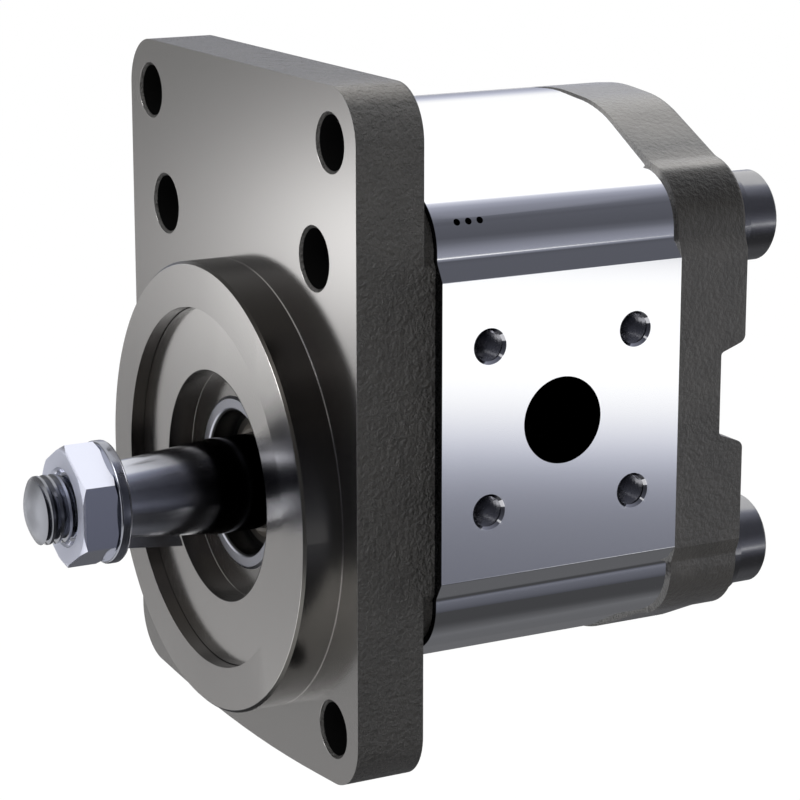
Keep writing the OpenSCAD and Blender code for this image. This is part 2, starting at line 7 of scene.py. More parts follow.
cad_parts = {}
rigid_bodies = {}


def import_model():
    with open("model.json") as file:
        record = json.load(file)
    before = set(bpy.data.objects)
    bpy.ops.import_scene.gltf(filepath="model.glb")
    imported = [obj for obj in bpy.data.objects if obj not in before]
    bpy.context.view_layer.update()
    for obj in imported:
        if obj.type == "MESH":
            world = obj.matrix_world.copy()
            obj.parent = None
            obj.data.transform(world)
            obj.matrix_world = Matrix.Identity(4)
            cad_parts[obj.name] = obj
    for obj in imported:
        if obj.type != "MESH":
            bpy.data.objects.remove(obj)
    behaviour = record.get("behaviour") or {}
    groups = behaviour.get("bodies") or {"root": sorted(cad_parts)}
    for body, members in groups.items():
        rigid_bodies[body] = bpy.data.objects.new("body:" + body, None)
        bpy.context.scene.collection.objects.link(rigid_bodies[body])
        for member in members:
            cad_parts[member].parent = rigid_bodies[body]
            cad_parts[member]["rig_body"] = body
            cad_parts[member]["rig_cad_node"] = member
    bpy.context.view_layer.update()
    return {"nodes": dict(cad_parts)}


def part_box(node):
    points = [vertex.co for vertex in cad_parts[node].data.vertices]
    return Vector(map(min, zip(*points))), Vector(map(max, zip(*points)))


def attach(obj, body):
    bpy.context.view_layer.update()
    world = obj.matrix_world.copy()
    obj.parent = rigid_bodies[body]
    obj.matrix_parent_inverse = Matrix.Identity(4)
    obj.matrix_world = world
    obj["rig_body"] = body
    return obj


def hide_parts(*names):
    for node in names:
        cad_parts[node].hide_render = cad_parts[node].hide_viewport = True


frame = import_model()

bl_info = {
    "name": "Gear pump dressing",
    "version": (1, 0, 0),
    "blender": (4, 5, 0),
    "location": "View3D > Sidebar > Pump",
    "description": "Finishes, screw threads, light and camera for the gear pump",
    "category": "Object",
}

MM = 0.001
X, Z = 0, 2

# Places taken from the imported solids
GEAR_MID_Y = sum(c[1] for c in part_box("driven_gear_shaft")) / 2
PORT_Z = sum(c[2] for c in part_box("pump_body")) / 2
PORT_FACE_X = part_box("pump_body")[1][0]
BODY_FRONT_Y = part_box("pump_body")[0][1]
SPIGOT_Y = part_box("front_cover")[0][1]
FLANGE_TOP_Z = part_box("front_cover")[1][2]
NUT_FRONT_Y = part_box("shaft_nut")[0][1]
SHAFT_TIP_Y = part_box("drive_gear_shaft")[0][1]

# Sizes of the part's source that the finishes follow
SPIGOT_R = 40 * MM
FACE_RECESS_R = 32 * MM
FACE_RECESS_DEPTH = 2.6 * MM
SEAL_RECESS_R = 20.5 * MM
FLANGE_BACK_Y = 12.4 * MM
COVER_BACK_Y = 74.5 * MM
MOUNT_HOLE_R = 4.5 * MM
MOUNT_STEP_X, MOUNT_STEP_Z = 36 * MM, 50 * MM
MOUNT_MID_Z = 15.5 * MM
UPPER_THREAD_R = 5 * MM
UPPER_THREAD_X, UPPER_THREAD_Z = 30 * MM, 45.5 * MM
PORT_BOLT_STEP = 40 * MM / math.sqrt(8)
SHOULDER_X, SHOULDER_Z = 35.6 * MM, PORT_Z + 29.8 * MM

# How far the relief of the raw castings reaches, and that of fine surfaces
SKIN_DEPTH = 2 * MM
FINE_DEPTH = 0.1 * MM

# Painted reflection on the spigot's face: its brightness against the angle about the shaft,
# in degrees
PAINTED_REFLECTION_FAN = (
    (-180, 0.8), (-120, 0.82), (-90, 0.78), (-60, 0.82), (-35, 1.0), (2, 1.0),
    (9, 0.4), (15, 0.09), (23, 0.12), (31, 0.26), (39, 0.8), (46, 1.0), (62, 0.88),
    (90, 0.74), (120, 0.72), (150, 0.72), (180, 0.8))

# Painted highlight on the flange's top edge, dimmer at its left: brightness against X
FLANGE_TOP_LIGHT_AND_SHADE = (
    (-45 * MM, 0.4), (-15 * MM, 1.3), (15 * MM, 2.0), (30 * MM, 2.6), (38 * MM, 4.5),
    (45 * MM, 4.5))

# Painted highlights and shade on the rear cover's crown: brightness against the distance
# from its middle
CROWN_LIGHT_AND_SHADE = (
    (0.0, 1.05), (13.5 * MM, 1.2), (21.5 * MM, 3.2), (27.5 * MM, 2.6), (33.5 * MM, 0.8),
    (36.5 * MM, 2.0), (39.3 * MM, 3.8), (40.8 * MM, 0.6), (42.5 * MM, 0.3),
    (45 * MM, 0.5), (47.5 * MM, 1.0))

# Painted highlights and shade on the drive shaft along Y, from its tip to its seal
SHAFT_LIGHT_AND_SHADE = (
    (-40 * MM, 1.6), (-39.1 * MM, 1.0), (-38 * MM, 0.6), (-33.6 * MM, 0.7),
    (-24.5 * MM, 1.5), (-20.5 * MM, 1.1), (-15 * MM, 0.75), (-11.5 * MM, 0.45),
    (-9 * MM, 0.25), (-7.5 * MM, 0.04), (-6 * MM, 0.02))


class PumpFinishes(bpy.types.PropertyGroup):
    cast_colour: bpy.props.FloatVectorProperty(
        name="Casting", description="Colour of the raw castings",
        subtype="COLOR", size=3, default=(0.045, 0.042, 0.038))
    machined_colour: bpy.props.FloatVectorProperty(
        name="Machined iron", description="Colour of the flange's machined face",
        subtype="COLOR", size=3, default=(0.58, 0.565, 0.555))
    body_colour: bpy.props.FloatVectorProperty(
        name="Body", description="Colour of the extruded body",
        subtype="COLOR", size=3, default=(0.93, 0.935, 0.95))
    steel_colour: bpy.props.FloatVectorProperty(
        name="Steel", description="Colour of the shaft, nut and washers",
        subtype="COLOR", size=3, default=(0.4, 0.41, 0.45))
    grain: bpy.props.FloatProperty(
        name="Casting grain", description="Depth of the casting's grain",
        min=0.0, max=1.0, default=0.95)


class PumpThreads(bpy.types.PropertyGroup):
    shaft_pitch: bpy.props.FloatProperty(
        name="Shaft pitch", description="Pitch of the shaft's thread",
        unit="LENGTH", default=1.5 * MM)
    port_pitch: bpy.props.FloatProperty(
        name="Port pitch", description="Pitch of the port threads",
        unit="LENGTH", default=1.0 * MM)


class PumpStage(bpy.types.PropertyGroup):
    camera_place: bpy.props.FloatVectorProperty(
        name="Camera", description="Where the camera stands",
        subtype="TRANSLATION", size=3, default=(0.43869, -0.2044, 0.13491))
    camera_aim: bpy.props.FloatVectorProperty(
        name="Aim", description="The direction in which the camera looks",
        subtype="DIRECTION", size=3, default=(-0.85422, 0.4608, -0.24077))
    lens: bpy.props.FloatProperty(
        name="Lens", description="Focal length in millimetres on a 36 mm sensor",
        default=127.32)
    floor_z: bpy.props.FloatProperty(
        name="Floor", description="Height of the floor", unit="LENGTH", default=-1.2)


# Helpers for modelling
def alone(obj):
    """Only obj is selected, and it is active."""
    if bpy.context.mode != "OBJECT":
        bpy.ops.object.mode_set(mode="OBJECT")
    bpy.ops.object.select_all(action="DESELECT")
    obj.select_set(True)
    bpy.context.view_layer.objects.active = obj


def apply_place(obj):
    alone(obj)
    bpy.ops.object.transform_apply(location=True, rotation=True, scale=True)


def apply_modifiers(obj):
    alone(obj)
    for name in [m.name for m in obj.modifiers]:
        bpy.ops.object.modifier_apply(modifier=name)


def smooth(obj, degrees):
    alone(obj)
    bpy.ops.object.shade_smooth_by_angle(angle=math.radians(degrees))


def merged_copy(node, name):
    """A copy of a CAD node with its loose triangles joined."""
    source = frame["nodes"][node]
    copy = source.copy()
    copy.data = source.data.copy()
    copy.name = name
    copy.parent = None
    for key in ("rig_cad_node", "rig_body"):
        if key in copy:
            del copy[key]
    bpy.context.scene.collection.objects.link(copy)
    alone(copy)
    if copy.data.has_custom_normals:
        bpy.ops.mesh.customdata_custom_splitnormals_clear()
    bpy.ops.object.mode_set(mode="EDIT")
    bpy.ops.mesh.select_all(action="SELECT")
    bpy.ops.mesh.remove_doubles(threshold=1e-6)
    bpy.ops.object.mode_set(mode="OBJECT")
    return copy


def wound(name, corners, pitch, turns, steps):
    """A triangle of (radius, height) corners, wound round +Z into a closed solid."""
    bpy.ops.object.select_all(action="DESELECT")
    bpy.ops.mesh.primitive_circle_add(vertices=3, radius=MM, fill_type="NOTHING")
    thread = bpy.context.object
    thread.name = name
    for vertex, (r, z) in zip(thread.data.vertices, corners):
        vertex.co = (r, 0, z)
    wind = thread.modifiers.new("wind", "SCREW")
    wind.axis = "Z"
    wind.angle = 2 * math.pi
    wind.screw_offset = pitch
    wind.iterations = turns
    wind.steps = wind.render_steps = steps
    apply_modifiers(thread)
    bpy.ops.object.mode_set(mode="EDIT")
    bpy.ops.mesh.select_all(action="SELECT")
    bpy.ops.mesh.remove_doubles(threshold=1e-7)
    if pitch:
        bpy.ops.mesh.fill_holes(sides=0)
    bpy.ops.mesh.normals_make_consistent(inside=False)
    bpy.ops.object.mode_set(mode="OBJECT")
    return thread


def coil(name, tip_r, base_r, base_w, pitch, turns, steps):
    """A thread's ridge or groove."""
    corners = ((tip_r, 0), (base_r, base_w / 2), (base_r, -base_w / 2))
    return wound(name, corners, pitch, turns, steps)


def weigh_normals(obj):
    """Lets large faces lead the shading, so that flats beside small rounds stay flat."""
    weigh = obj.modifiers.new("weigh", "WEIGHTED_NORMAL")
    weigh.mode = "FACE_AREA"
    weigh.weight = 100
    weigh.keep_sharp = True
    apply_modifiers(obj)


def clear_flats(obj):
    """Turns each flat's triangles into one face, which a bevel needs."""
    alone(obj)
    bpy.ops.object.mode_set(mode="EDIT")
    bpy.ops.mesh.select_all(action="SELECT")
    bpy.ops.mesh.dissolve_limited(angle_limit=math.radians(0.3))
    bpy.ops.object.mode_set(mode="OBJECT")


def aim_along(obj, start, direction):
    """Turns obj's +Z to direction and moves its origin to start, then fixes both."""
    obj.rotation_mode = "QUATERNION"
    obj.rotation_quaternion = Vector(direction).to_track_quat("Z", "Y")
    obj.location = start
    apply_place(obj)


def cut(obj, tool):
    difference = obj.modifiers.new("cut", "BOOLEAN")
    difference.operation = "DIFFERENCE"
    difference.solver = "EXACT"
    difference.object = tool
    apply_modifiers(obj)
    bpy.data.objects.remove(tool)


def join(objects, name):
    bpy.ops.object.select_all(action="DESELECT")
    for obj in objects:
        obj.select_set(True)
    bpy.context.view_layer.objects.active = objects[0]
    bpy.ops.object.join()
    objects[0].name = name
    return objects[0]


def dress(obj, material, slot):
    obj.data.materials.clear()
    obj.data.materials.append(material)


# Effects that several finishes share
def effect_group(name, inputs, outputs):
    group = bpy.data.node_groups.new(name, "ShaderNodeTree")
    for label, kind, value in inputs:
        socket = group.interface.new_socket(label, in_out="INPUT", socket_type=kind)
        if value is not None:
            socket.default_value = value
    for label, kind in outputs:
        group.interface.new_socket(label, in_out="OUTPUT", socket_type=kind)
    return group, group.nodes.new("NodeGroupInput"), group.nodes.new("NodeGroupOutput")


def calc(tree, operation, a, b=None, c=None):
    node = tree.nodes.new("ShaderNodeMath")
    node.operation = operation
    for socket, value in zip(node.inputs, (a, b, c)):
        if value is None:
            continue
        if isinstance(value, (int, float)):
            socket.default_value = value
        else:
            tree.links.new(value, socket)
    return node.outputs[0]


def remap(tree, value, low, high, to_low=0.0, to_high=1.0):
    node = tree.nodes.new("ShaderNodeMapRange")
    node.clamp = True
    tree.links.new(value, node.inputs["Value"])
    for label, number in zip(("From Min", "From Max", "To Min", "To Max"),
                             (low, high, to_low, to_high)):
        node.inputs[label].default_value = number
    return node.outputs["Result"]


def beyond(tree, value, edge, blend=0.1 * MM):
    """A mask that is one past the edge and zero before it."""
    return remap(tree, value, edge, edge + blend)


def within(tree, value, edge, blend=0.1 * MM):
    """A mask that is one before the edge and zero past it."""
    return remap(tree, value, edge, edge + blend, 1.0, 0.0)


def all_of(tree, mask, *others):
    """A mask that is one only where each of the masks is."""
    for other in others:
        mask = calc(tree, "MULTIPLY", mask, other)
    return mask


def ramp_of(tree, value, stops, colour_of):
    """A colour ramp through (place, level) stops; colour_of gives a level's colour."""
    low, high = stops[0][0], stops[-1][0]
    ramp = tree.nodes.new("ShaderNodeValToRGB")
    tree.links.new(remap(tree, value, low, high), ramp.inputs["Fac"])
    marks = ramp.color_ramp.elements
    while len(marks) < len(stops):
        marks.new(0.5)
    # A mark that moves can change the order, so the colours come after all the places
    for mark, (place, level) in zip(marks, stops):
        mark.position = (place - low) / (high - low)
    for mark, (place, level) in zip(marks, stops):
        mark.color = (*colour_of(level), 1.0)
    return ramp.outputs["Color"]


def grey(level):
    return level, level, level


def noise(tree, vector, scale, detail, roughness):
    node = tree.nodes.new("ShaderNodeTexNoise")
    tree.links.new(vector, node.inputs["Vector"])
    node.inputs["Detail"].default_value = detail
    node.inputs["Roughness"].default_value = roughness
    tree.links.new(scale, node.inputs["Scale"])
    return node.outputs["Fac"]


def stretched(tree, vector, scale):
    node = tree.nodes.new("ShaderNodeMapping")
    node.inputs["Scale"].default_value = scale
    tree.links.new(vector, node.inputs["Vector"])
    return node.outputs["Vector"]


def casting_grain():
    """Pebbled skin of a sand casting: a height and a blotchy mask."""
    group, start, end = effect_group(
        "Casting grain",
        [("Vector", "NodeSocketVector", None), ("Scale", "NodeSocketFloat", 1200.0)],
        [("Height", "NodeSocketFloat"), ("Blotches", "NodeSocketFloat")])
    fine = noise(group, start.outputs["Vector"], start.outputs["Scale"], 4.0, 0.6)
    coarse_scale = calc(group, "MULTIPLY", start.outputs["Scale"], 0.3)
    coarse = noise(group, start.outputs["Vector"], coarse_scale, 2.0, 0.5)
    height = calc(group, "MULTIPLY_ADD", coarse, 0.5, fine)
    group.links.new(height, end.inputs["Height"])
    blotch_scale = calc(group, "MULTIPLY", start.outputs["Scale"], 0.08)
    blotches = noise(group, start.outputs["Vector"], blotch_scale, 3.0, 0.6)
    group.links.new(remap(group, blotches, 0.3, 0.7), end.inputs["Blotches"])
    return group


def tool_marks():
    """Fine lines that a tool or a die leaves: long along the small scale's axis."""
    group, start, end = effect_group(
        "Tool marks",
        [("Vector", "NodeSocketVector", None), ("Density", "NodeSocketFloat", 1.0)],
        [("Lines", "NodeSocketFloat")])
    lines = noise(group, start.outputs["Vector"], start.outputs["Density"], 3.0, 0.7)
    group.links.new(remap(group, lines, 0.3, 0.7), end.inputs["Lines"])
    return group


def place_effect(material, group, vector, **values):
    tree = material.node_tree
    node = tree.nodes.new("ShaderNodeGroup")
    node.node_tree = group
    tree.links.new(vector, node.inputs["Vector"])
    for label, value in values.items():
        node.inputs[label].default_value = value
    return node


def finish(name, colour, metallic, roughness, coat=0.0):
    material = bpy.data.materials.new(name)
    material.use_nodes = True
    shader = material.node_tree.nodes["Principled BSDF"]
    shader.inputs["Base Color"].default_value = (*colour, 1.0)
    shader.inputs["Metallic"].default_value = metallic
    shader.inputs["Roughness"].default_value = roughness
    shader.inputs["Coat Weight"].default_value = coat
    where = material.node_tree.nodes.new("ShaderNodeTexCoord")
    return material, shader, where.outputs["Object"]


def mix_colours(tree, factor, a, b):
    node = tree.nodes.new("ShaderNodeMix")
    node.data_type = "RGBA"
    tree.links.new(factor, node.inputs["Factor"])
    for socket, value in zip((node.inputs[6], node.inputs[7]), (a, b)):
        if isinstance(value, tuple):
            socket.default_value = (*value, 1.0)
        else:
            tree.links.new(value, socket)
    return node.outputs[2]


def banded(tree, mask, value, stops, colour):
    """Brightens or darkens a colour by the stops along a length, inside the mask."""
    node = tree.nodes.new("ShaderNodeMix")
    node.data_type = "RGBA"
    node.blend_type = "MULTIPLY"
    tree.links.new(mask, node.inputs["Factor"])
    tree.links.new(colour, node.inputs[6])
    tree.links.new(ramp_of(tree, value, stops, grey), node.inputs[7])
    return node.outputs[2]


def bump(tree, height, strength, distance):
    node = tree.nodes.new("ShaderNodeBump")
    node.inputs["Strength"].default_value = strength
    node.inputs["Distance"].default_value = distance
    tree.links.new(height, node.inputs["Height"])
    return node.outputs["Normal"]


def axes_of(tree, vector):
    node = tree.nodes.new("ShaderNodeSeparateXYZ")
    tree.links.new(vector, node.inputs[0])
    return node.outputs


def flat_distance(tree, a, a0, b, b0):
    """Distance in a plane from the point (a0, b0)."""
    da = calc(tree, "SUBTRACT", a, a0)
    db = calc(tree, "SUBTRACT", b, b0)
    return calc(tree, "SQRT", calc(tree, "MULTIPLY_ADD", da, da,
                                   calc(tree, "MULTIPLY", db, db)))


def on_planes(tree, y, places, half):
    """One where y is within half of a place, else zero."""
    mask = None
    for place in places:
        gap = calc(tree, "ABSOLUTE", calc(tree, "SUBTRACT", y, place))
        here = remap(tree, gap, half, 1.5 * half, 1.0, 0.0)
        mask = here if mask is None else calc(tree, "MAXIMUM", mask, here)
    return mask


def painted_reflection_fans():
    """Painted reflection: light and dark fans about the Y axis, like those a face cut on a
    lathe reflects.
    """
    group, start, end = effect_group(
        "Turned face", [("Vector", "NodeSocketVector", None)],
        [("Fan", "NodeSocketFloat")])
    axes = axes_of(group, start.outputs["Vector"])
    angle = calc(group, "ARCTAN2", axes["Z"], axes["X"])
    stops = [(math.radians(degrees), level) for degrees, level in PAINTED_REFLECTION_FAN]
    group.links.new(ramp_of(group, angle, stops, grey), end.inputs["Fan"])
    return group


def raw_casting(name, grain, colour, depth, coat):
    """Pebbled casting; returns its tree, shader, place and tint for a further mix."""
    material, shader, where = finish(name, colour, 0.0, 0.36, coat)
    shader.inputs["Coat Roughness"].default_value = 0.22
    shader.inputs["Specular IOR Level"].default_value = 0.75
    tree = material.node_tree
    skin = place_effect(material, grain, where)
    dark = tuple(0.7 * c for c in colour)
    tint = mix_colours(tree, skin.outputs["Blotches"], dark, colour)
    tree.links.new(tint, shader.inputs["Base Color"])
    tree.links.new(bump(tree, skin.outputs["Height"], depth, SKIN_DEPTH),
                   shader.inputs["Normal"])
    tree.links.new(bump(tree, skin.outputs["Height"], 0.4 * depth, SKIN_DEPTH),
                   shader.inputs["Coat Normal"])
    return tree, shader, where, skin, tint


def cover_finish(grain, colour, depth):
    """The casting, smoother than the flange, with painted highlights and painted shade along
    its crown.
    """
    tree, shader, where, _, tint = raw_casting("Cover casting", grain, colour,
                                                0.35 * depth, 1.0)
    x, y, z = axes_of(tree, where)
    side = calc(tree, "ABSOLUTE", x)
    crown = all_of(tree, remap(tree, z, 44 * MM, 47 * MM),
                   within(tree, y, COVER_BACK_Y - 0.4 * MM, 0.2 * MM))
    # Painted highlights and shade along the crown
    tree.links.new(banded(tree, crown, side, CROWN_LIGHT_AND_SHADE, tint),
                   shader.inputs["Base Color"])
    ear = all_of(tree, crown, remap(tree, side, 39.7 * MM, 41.2 * MM),
                 remap(tree, side, 45.5 * MM, 47 * MM, 1.0, 0.0))
    tree.links.new(remap(tree, ear, 0.0, 1.0, 1.0, 0.15), shader.inputs["Coat Weight"])
    tree.links.new(remap(tree, ear, 0.0, 1.0, 0.75, 0.3),
                   shader.inputs["Specular IOR Level"])


def recess_mask(tree, y, radius):
    """One on the floor of the recess in the spigot's face."""
    return all_of(tree, on_planes(tree, y, (SPIGOT_Y + FACE_RECESS_DEPTH,), 0.02 * MM),
                  beyond(tree, radius, SEAL_RECESS_R + 0.1 * MM),
                  within(tree, radius, FACE_RECESS_R - 0.2 * MM))


def machined_mask(tree, y, radius, recess):
    """One on the flange's machined faces, and faint on the edge at the spigot's root, where
    it paints a thin highlight line.
    """
    # Painted highlight: a thin band at the spigot's root takes some of the bright iron
    root = all_of(tree, on_planes(tree, y, (0.0,), 0.12 * MM),
                  beyond(tree, radius, SPIGOT_R - 0.6 * MM),
                  within(tree, radius, SPIGOT_R + 0.1 * MM))
    faces = on_planes(tree, y, (0.0, SPIGOT_Y), 0.02 * MM)
    faces = calc(tree, "MAXIMUM", faces, recess)
    return calc(tree, "MAXIMUM", faces, calc(tree, "MULTIPLY", root, 0.3))


def painted_fan_colour(tree, fan, x, y, radius, recess, machined):
    """The machined iron, with painted reflection fans of light and dark on the spigot."""
    # Painted highlight: the ring's right side and the recess floor are made brighter
    outer = all_of(tree, remap(tree, x, 22 * MM, 36 * MM, 0.0, 0.5),
                   beyond(tree, radius, FACE_RECESS_R - 0.1 * MM))
    lift = calc(tree, "ADD", outer, remap(tree, recess, 0.0, 1.0, 1.0, 1.3))
    # Painted reflection: near black in the dark fans, bright iron in the light ones
    fanned = mix_colours(tree, calc(tree, "MULTIPLY", fan, lift), (0.02, 0.02, 0.02),
                         tuple(min(1.0, 1.6 * c) for c in machined))
    spigot = within(tree, y, -0.5 * MM, 0.2 * MM)
    return mix_colours(tree, spigot, machined, fanned)


def painted_wall_shade(tree, z, radius):
    """Painted shade: dark inner walls, and an outer wall with a painted reflection that is
    lighter below its middle.
    """
    # Painted reflection: the lighter patch on the outer wall below its middle
    lit = all_of(tree, remap(tree, radius, 36 * MM, 37 * MM),
                 remap(tree, z, 0.0, 20 * MM, 1.0, 0.0),
                 remap(tree, z, -32 * MM, -12 * MM, 0.25, 1.0))
    return mix_colours(tree, lit, (0.026, 0.024, 0.022), (0.15, 0.145, 0.135))


def flange_hole_mask(tree, x, y, z):
    """Zero inside the flange's holes, else one."""
    side = calc(tree, "ABSOLUTE", x)
    rise = calc(tree, "ABSOLUTE", calc(tree, "SUBTRACT", z, MOUNT_MID_Z))
    mounts = flat_distance(tree, side, MOUNT_STEP_X, rise, MOUNT_STEP_Z)
    upper = flat_distance(tree, side, UPPER_THREAD_X, z, UPPER_THREAD_Z)
    upper = calc(tree, "MAXIMUM", beyond(tree, upper, UPPER_THREAD_R + 0.05 * MM, 0.07 * MM),
                 beyond(tree, y, FLANGE_BACK_Y - 0.6 * MM, 0.2 * MM))
    return all_of(tree, beyond(tree, mounts, MOUNT_HOLE_R + 0.05 * MM, 0.07 * MM), upper)


def flange_finish(grain, fans, colour, machined, depth):
    """The casting, machined on its front planes, with painted shade on its walls and in its
    holes, painted reflection fans on the spigot, painted shade low down and a painted
    highlight on its top edge.
    """
    tree, shader, where, skin, tint = raw_casting("Flange casting", grain, colour, depth,
                                                   0.3)
    fan = tree.nodes.new("ShaderNodeGroup")
    fan.node_tree = fans
    tree.links.new(where, fan.inputs["Vector"])
    x, y, z = axes_of(tree, where)
    radius = flat_distance(tree, x, 0.0, z, 0.0)
    raw = beyond(tree, y, 0.03 * MM, 0.05 * MM)
    recess = recess_mask(tree, y, radius)
    faces = machined_mask(tree, y, radius, recess)
    solid = flange_hole_mask(tree, x, y, z)
    bright = painted_fan_colour(tree, fan.outputs["Fan"], x, y, radius, recess, machined)
    metal_tint = mix_colours(tree, faces, painted_wall_shade(tree, z, radius), bright)
    # Painted shade: the casting darkens towards the bottom
    low = remap(tree, z, -45 * MM, 30 * MM, 0.7, 0.0)
    tint = mix_colours(tree, low, tint, (0.022, 0.02, 0.017))
    # Painted highlight along the flange's top edge
    top = all_of(tree, remap(tree, z, FLANGE_TOP_Z - 2.8 * MM, FLANGE_TOP_Z - 0.6 * MM),
                 within(tree, y, FLANGE_BACK_Y - 0.5 * MM, 0.3 * MM))
    tint = banded(tree, top, x, FLANGE_TOP_LIGHT_AND_SHADE, tint)
    tint = mix_colours(tree, raw, metal_tint, tint)
    # Painted shade: the flange's holes are painted near black
    tint = mix_colours(tree, solid, (0.004, 0.004, 0.004), tint)
    tree.links.new(tint, shader.inputs["Base Color"])
    metal = all_of(tree, calc(tree, "SUBTRACT", 1.0, raw), solid)
    tree.links.new(metal, shader.inputs["Metallic"])
    rough = calc(tree, "MAXIMUM", remap(tree, faces, 0.0, 1.0, 0.27, 0.17),
                 calc(tree, "MULTIPLY", raw, 0.36))
    tree.links.new(rough, shader.inputs["Roughness"])
    tree.links.new(calc(tree, "MULTIPLY", solid, 0.75), shader.inputs["Specular IOR Level"])
    skinned = all_of(tree, raw, solid)
    tree.links.new(calc(tree, "MULTIPLY", skinned, 0.3), shader.inputs["Coat Weight"])
    height = calc(tree, "MULTIPLY", skin.outputs["Height"], skinned)
    tree.links.new(bump(tree, height, depth, SKIN_DEPTH), shader.inputs["Normal"])


def body_finish(colour):
    """Bright aluminium, with painted shade inside its ports and bolt holes, at the step
    inside each upper shoulder and on its front end.
    """
    material, shader, where = finish("Extruded aluminium", colour, 1.0, 0.075)
    tree = material.node_tree
    x, y, z = axes_of(tree, where)
    side = calc(tree, "ABSOLUTE", x)
    port = flat_distance(tree, y, GEAR_MID_Y, z, PORT_Z)
    # Painted shade inside the port bores
    shell = calc(tree, "MAXIMUM", beyond(tree, side, PORT_FACE_X - 0.4 * MM, 0.3 * MM),
                 beyond(tree, port, 12.8 * MM, 0.2 * MM))
    shoulder = flat_distance(tree, side, SHOULDER_X, z, SHOULDER_Z)
    # Painted shade at the step inside each upper shoulder
    outside_step_shade = calc(tree, "MAXIMUM", beyond(tree, shoulder, 9.7 * MM),
                    within(tree, side, 42.4 * MM))
    # Painted shade on the body's front end, beside the flange
    ends = beyond(tree, y, BODY_FRONT_Y + 0.02 * MM, 0.08 * MM)
    unshaded = all_of(tree, shell, outside_step_shade, ends)
    across = calc(tree, "ABSOLUTE", calc(tree, "SUBTRACT", y, GEAR_MID_Y))
    up = calc(tree, "ABSOLUTE", calc(tree, "SUBTRACT", z, PORT_Z))
    hole = flat_distance(tree, across, PORT_BOLT_STEP, up, PORT_BOLT_STEP)
    # Painted shade: the bolt holes' walls are greyer
    inside = all_of(tree, within(tree, hole, 3.9 * MM),
                    within(tree, side, PORT_FACE_X - 0.06 * MM, 0.03 * MM))
    metal = mix_colours(tree, inside, colour, (0.5, 0.5, 0.53))
    tree.links.new(mix_colours(tree, unshaded, (0.01, 0.01, 0.012), metal),
                   shader.inputs["Base Color"])


def shaft_finish(marks, colour):
    """Ground steel, with painted highlights at its tip and by the washer, fading to painted
    shade, black, where the shaft enters its seal.
    """
    material, shader, where = finish("Drive shaft steel", colour, 1.0, 0.2)
    tree = material.node_tree
    lines = place_effect(material, marks, stretched(tree, where, (1500, 200, 1500)))
    y = axes_of(tree, where)["Y"]
    rough = remap(tree, lines.outputs["Lines"], 0, 1, 0.13, 0.17)
    satin = remap(tree, y, SHAFT_TIP_Y + 1.2 * MM, SHAFT_TIP_Y + 2.4 * MM, 0.2, 0.0)
    tree.links.new(calc(tree, "ADD", rough, satin), shader.inputs["Roughness"])
    # Painted highlights and shade along the shaft
    painted_light = ramp_of(tree, y, SHAFT_LIGHT_AND_SHADE, lambda level: [level * c for c in colour])
    tree.links.new(painted_light, shader.inputs["Base Color"])


def seal_case_finish(colour):
    """Pressed steel, bright at its rim and black inside it."""
    material, shader, where = finish("Seal case steel", colour, 1.0, 0.3)
    tree = material.node_tree
    axes = axes_of(tree, where)
    radius = flat_distance(tree, axes["X"], 0.0, axes["Z"], 0.0)
    web = mix_colours(tree, beyond(tree, radius, 11.6 * MM, 0.3 * MM), (0.3, 0.28, 0.26),
                      (0.02, 0.02, 0.02))
    rim = beyond(tree, radius, 13.1 * MM, 0.2 * MM)
    tree.links.new(mix_colours(tree, rim, web, colour), shader.inputs["Base Color"])


def nut_finish(colour):
    """Plated steel, bright on its flats and satin on its front."""
    material, shader, where = finish("Plated steel", colour, 1.0, 0.1)
    tree = material.node_tree
    y = axes_of(tree, where)["Y"]
    satin = remap(tree, y, NUT_FRONT_Y + 0.05 * MM, NUT_FRONT_Y + 0.6 * MM, 0.55, 0.1)
    tree.links.new(satin, shader.inputs["Roughness"])


def steel_finish(name, marks, colour, low, high, scale=(700, 700, 700)):
    """Steel or alloy whose tool marks change its roughness from low to high."""
    material, shader, where = finish(name, colour, 1.0, low)
    tree = material.node_tree
    lines = place_effect(material, marks, stretched(tree, where, scale))
    tree.links.new(remap(tree, lines.outputs["Lines"], 0, 1, low, high),
                   shader.inputs["Roughness"])
    tree.links.new(bump(tree, lines.outputs["Lines"], 0.04, FINE_DEPTH),
                   shader.inputs["Normal"])


def plain_finish(name, grain, colour, metallic, roughness):
    """Bush metal, rubber or plastic, with a fine skin."""
    material, shader, where = finish(name, colour, metallic, roughness)
    tree = material.node_tree
    skin = place_effect(material, grain, where, Scale=1500.0)
    dark = tuple(0.8 * c for c in colour)
    tree.links.new(mix_colours(tree, skin.outputs["Blotches"], dark, colour),
                   shader.inputs["Base Color"])
    tree.links.new(bump(tree, skin.outputs["Height"], 0.08, FINE_DEPTH),
                   shader.inputs["Normal"])


